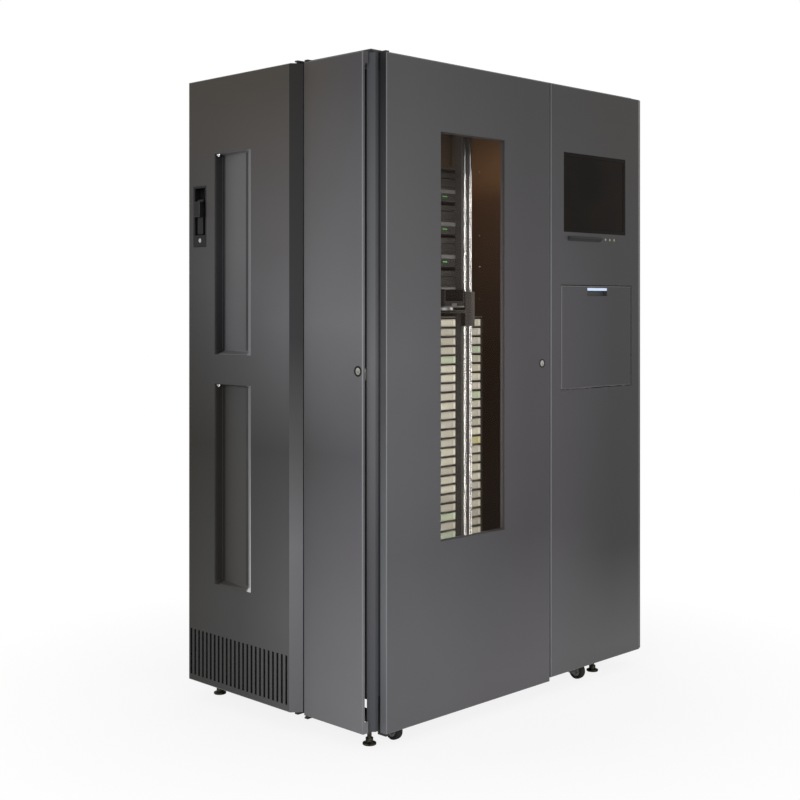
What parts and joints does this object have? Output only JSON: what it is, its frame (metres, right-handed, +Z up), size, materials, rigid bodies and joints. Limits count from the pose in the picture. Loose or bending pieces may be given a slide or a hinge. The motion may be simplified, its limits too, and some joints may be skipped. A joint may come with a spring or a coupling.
{
  "type": "data tape library",
  "caption": "Floor-standing data tape library cabinet with hinged doors, a tall smoked window, display, drop-down input-output door, cartridge racks, drives and a cartridge robot.",
  "frame": {"origin": "centre of the footprint, on the floor under the levelling feet", "axes": "+Z up; -Y out of the operating front with the window and the display; -X out of the side with the two service doors"},
  "size_m": [1.24, 0.792, 1.8],
  "materials": {
    "panel_paint": "satin",
    "frame_paint": "satin",
    "bright_steel": "brushed",
    "dark_steel": "satin",
    "aluminium": "satin",
    "black_plastic": "matt",
    "cartridge_plastic": "matt",
    "smoked_glass": "gloss",
    "screen": "gloss",
    "lamp": "gloss",
    "zinc": "satin",
    "wheel_rubber": "matt",
    "red_plastic": "gloss"
  },
  "bodies": {
    "cabinet": {"base_frame": "frame_paint", "frame_posts": "frame_paint", "top_frame": "frame_paint", "floor_pan": "frame_paint", "roof_cover": "panel_paint", "right_side_panel": "panel_paint", "front_fixed_panel": "panel_paint", "rear_panels": "panel_paint", "panel_screws": "zinc", "door_hinges": "zinc", "rack_walls": "dark_steel", "rack_shelves": "dark_steel", "cartridges_a": "cartridge_plastic", "cartridges_b": "cartridge_plastic", "cartridges_c": "cartridge_plastic", "drive_cage": "dark_steel", "tape_drives": "black_plastic", "power_supplies": "aluminium", "controller_box": "aluminium", "power_inlet": "black_plastic", "robot_top_rail": "aluminium", "robot_floor_rail": "aluminium", "display_bezel": "black_plastic", "touch_screen": "screen", "status_lamps": "lamp", "io_bay": "frame_paint", "io_shelves": "dark_steel", "caster_plates": "zinc", "foot_brackets": "zinc"},
    "front_door": {"front_door": "panel_paint", "window_pane": "smoked_glass"},
    "front_lock": {"front_lock": "zinc"},
    "narrow_side_door": {"narrow_side_door": "panel_paint"},
    "narrow_lock": {"narrow_lock": "zinc"},
    "wide_side_door": {"wide_side_door": "panel_paint", "latch_housing": "black_plastic"},
    "latch_lever": {"latch_lever": "black_plastic"},
    "latch_lock": {"latch_lock": "zinc"},
    "io_door": {"io_door": "panel_paint", "io_light_bar": "lamp"},
    "power_switch": {"power_switch": "red_plastic"},
    "robot_mast": {"robot_mast": "dark_steel", "mast_guide_rods": "bright_steel"},
    "lift_carriage": {"lift_carriage": "black_plastic"},
    "gripper_turntable": {"gripper_turntable": "aluminium"},
    "gripper_hand": {"gripper_hand": "black_plastic"},
    "gripper_jaw_upper": {"gripper_jaw_upper": "aluminium"},
    "gripper_jaw_lower": {"gripper_jaw_lower": "aluminium"},
    "caster_fork_1": {"caster_fork_1": "zinc"},
    "caster_wheel_1": {"caster_wheel_1": "wheel_rubber"},
    "foot_1": {"foot_1": "zinc"},
    "caster_fork_2": {"caster_fork_2": "zinc"},
    "caster_wheel_2": {"caster_wheel_2": "wheel_rubber"},
    "foot_2": {"foot_2": "zinc"},
    "caster_fork_3": {"caster_fork_3": "zinc"},
    "caster_wheel_3": {"caster_wheel_3": "wheel_rubber"},
    "foot_3": {"foot_3": "zinc"},
    "caster_fork_4": {"caster_fork_4": "zinc"},
    "caster_wheel_4": {"caster_wheel_4": "wheel_rubber"},
    "foot_4": {"foot_4": "zinc"}
  },
  "joints": [
    {"name": "front_door_hinge", "type": "hinge", "parent": "cabinet", "child": "front_door", "pos_m": [-0.518, -0.375, 0.9], "axis": [0, 0, 1], "range_deg": [-110, 0]},
    {"name": "front_lock_turn", "type": "hinge", "parent": "front_door", "child": "front_lock", "pos_m": [0.108, -0.376, 0.974], "axis": [0, -1, 0], "range_deg": [0, 90]},
    {"name": "narrow_door_hinge", "type": "hinge", "parent": "cabinet", "child": "narrow_side_door", "pos_m": [-0.574, -0.135, 0.9], "axis": [0, 0, 1], "range_deg": [-80, 0]},
    {"name": "narrow_lock_turn", "type": "hinge", "parent": "narrow_side_door", "child": "narrow_lock", "pos_m": [-0.57, -0.336, 0.974], "axis": [1, 0, 0], "range_deg": [0, 90]},
    {"name": "wide_door_hinge", "type": "hinge", "parent": "cabinet", "child": "wide_side_door", "pos_m": [-0.584, -0.107, 0.9], "axis": [0, 0, 1], "range_deg": [0, 80]},
    {"name": "latch_lever_pivot", "type": "hinge", "parent": "wide_side_door", "child": "latch_lever", "pos_m": [-0.598, 0.2965, 1.44], "axis": [0, 1, 0], "range_deg": [0, 40]},
    {"name": "latch_lock_turn", "type": "hinge", "parent": "wide_side_door", "child": "latch_lock", "pos_m": [-0.598, 0.2965, 1.329], "axis": [1, 0, 0], "range_deg": [0, 90]},
    {"name": "io_door_hinge", "type": "hinge", "parent": "cabinet", "child": "io_door", "pos_m": [0.3755, -0.377, 0.9025], "axis": [1, 0, 0], "range_deg": [0, 90]},
    {"name": "power_switch_rock", "type": "hinge", "parent": "cabinet", "child": "power_switch", "pos_m": [0.467, 0.3875, 0.176], "axis": [1, 0, 0], "range_deg": [0, 12]},
    {"name": "robot_travel", "type": "slide", "parent": "cabinet", "child": "robot_mast", "axis": [1, 0, 0], "range_m": [-0.3, 0.46]},
    {"name": "robot_lift", "type": "slide", "parent": "robot_mast", "child": "lift_carriage", "axis": [0, 0, 1], "range_m": [-0.86, 0.5]},
    {"name": "gripper_turn", "type": "hinge", "parent": "lift_carriage", "child": "gripper_turntable", "pos_m": [-0.125, -0.198, 1.128], "axis": [0, 0, 1], "range_deg": [0, 180]},
    {"name": "gripper_reach", "type": "slide", "parent": "gripper_turntable", "child": "gripper_hand", "axis": [0, 1, 0], "range_m": [0, 0.038]},
    {"name": "jaw_upper_close", "type": "slide", "parent": "gripper_hand", "child": "gripper_jaw_upper", "axis": [0, 0, 1], "range_m": [-0.002, 0]},
    {"name": "jaw_lower_close", "type": "slide", "parent": "gripper_hand", "child": "gripper_jaw_lower", "axis": [0, 0, 1], "range_m": [0, 0.002]},
    {"name": "caster_swivel_1", "type": "hinge", "parent": "cabinet", "child": "caster_fork_1", "pos_m": [-0.448, -0.316, 0.064], "axis": [0, 0, 1], "continuous": true},
    {"name": "caster_roll_1", "type": "hinge", "parent": "caster_fork_1", "child": "caster_wheel_1", "pos_m": [-0.448, -0.334, 0.027], "axis": [1, 0, 0], "continuous": true},
    {"name": "caster_swivel_2", "type": "hinge", "parent": "cabinet", "child": "caster_fork_2", "pos_m": [0.343, -0.316, 0.064], "axis": [0, 0, 1], "continuous": true},
    {"name": "caster_roll_2", "type": "hinge", "parent": "caster_fork_2", "child": "caster_wheel_2", "pos_m": [0.343, -0.334, 0.027], "axis": [1, 0, 0], "continuous": true},
    {"name": "caster_swivel_3", "type": "hinge", "parent": "cabinet", "child": "caster_fork_3", "pos_m": [-0.448, 0.326, 0.064], "axis": [0, 0, 1], "continuous": true},
    {"name": "caster_roll_3", "type": "hinge", "parent": "caster_fork_3", "child": "caster_wheel_3", "pos_m": [-0.448, 0.308, 0.027], "axis": [1, 0, 0], "continuous": true},
    {"name": "caster_swivel_4", "type": "hinge", "parent": "cabinet", "child": "caster_fork_4", "pos_m": [0.343, 0.326, 0.064], "axis": [0, 0, 1], "continuous": true},
    {"name": "caster_roll_4", "type": "hinge", "parent": "caster_fork_4", "child": "caster_wheel_4", "pos_m": [0.343, 0.308, 0.027], "axis": [1, 0, 0], "continuous": true},
    {"name": "foot_turn_1", "type": "hinge", "parent": "cabinet", "child": "foot_1", "pos_m": [-0.516, -0.312, 0.04], "axis": [0, 0, 1], "continuous": true},
    {"name": "foot_turn_2", "type": "hinge", "parent": "cabinet", "child": "foot_2", "pos_m": [0.45, -0.312, 0.04], "axis": [0, 0, 1], "continuous": true},
    {"name": "foot_turn_3", "type": "hinge", "parent": "cabinet", "child": "foot_3", "pos_m": [-0.516, 0.322, 0.04], "axis": [0, 0, 1], "continuous": true},
    {"name": "foot_turn_4", "type": "hinge", "parent": "cabinet", "child": "foot_4", "pos_m": [0.45, 0.322, 0.04], "axis": [0, 0, 1], "continuous": true}
  ],
  "couplings": [
    {"joint": "jaw_lower_close", "follows": "jaw_upper_close", "ratio": -1}
  ]
}
